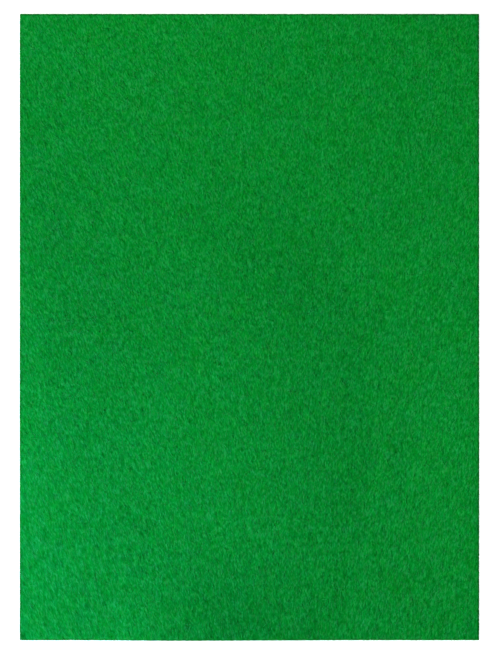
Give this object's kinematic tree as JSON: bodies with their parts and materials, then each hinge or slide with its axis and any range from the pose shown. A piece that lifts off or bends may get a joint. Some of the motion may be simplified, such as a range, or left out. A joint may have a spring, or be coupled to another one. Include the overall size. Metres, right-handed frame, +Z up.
{
  "type": "sheet of felt",
  "caption": "Rectangular cut sheet of soft green felt with square corners and straight edges, lying face up with a few low, soft swells.",
  "frame": {"origin": "on the surface the sheet lies on, under the middle of its rectangle", "axes": "+X across the sheet to the right, +Y along its length to the far edge, +Z up through its face"},
  "size_m": [0.22, 0.3, 0.007],
  "materials": {
    "felt": "matte"
  },
  "bodies": {
    "root": {"felt_sheet": "felt"}
  },
  "joints": []
}
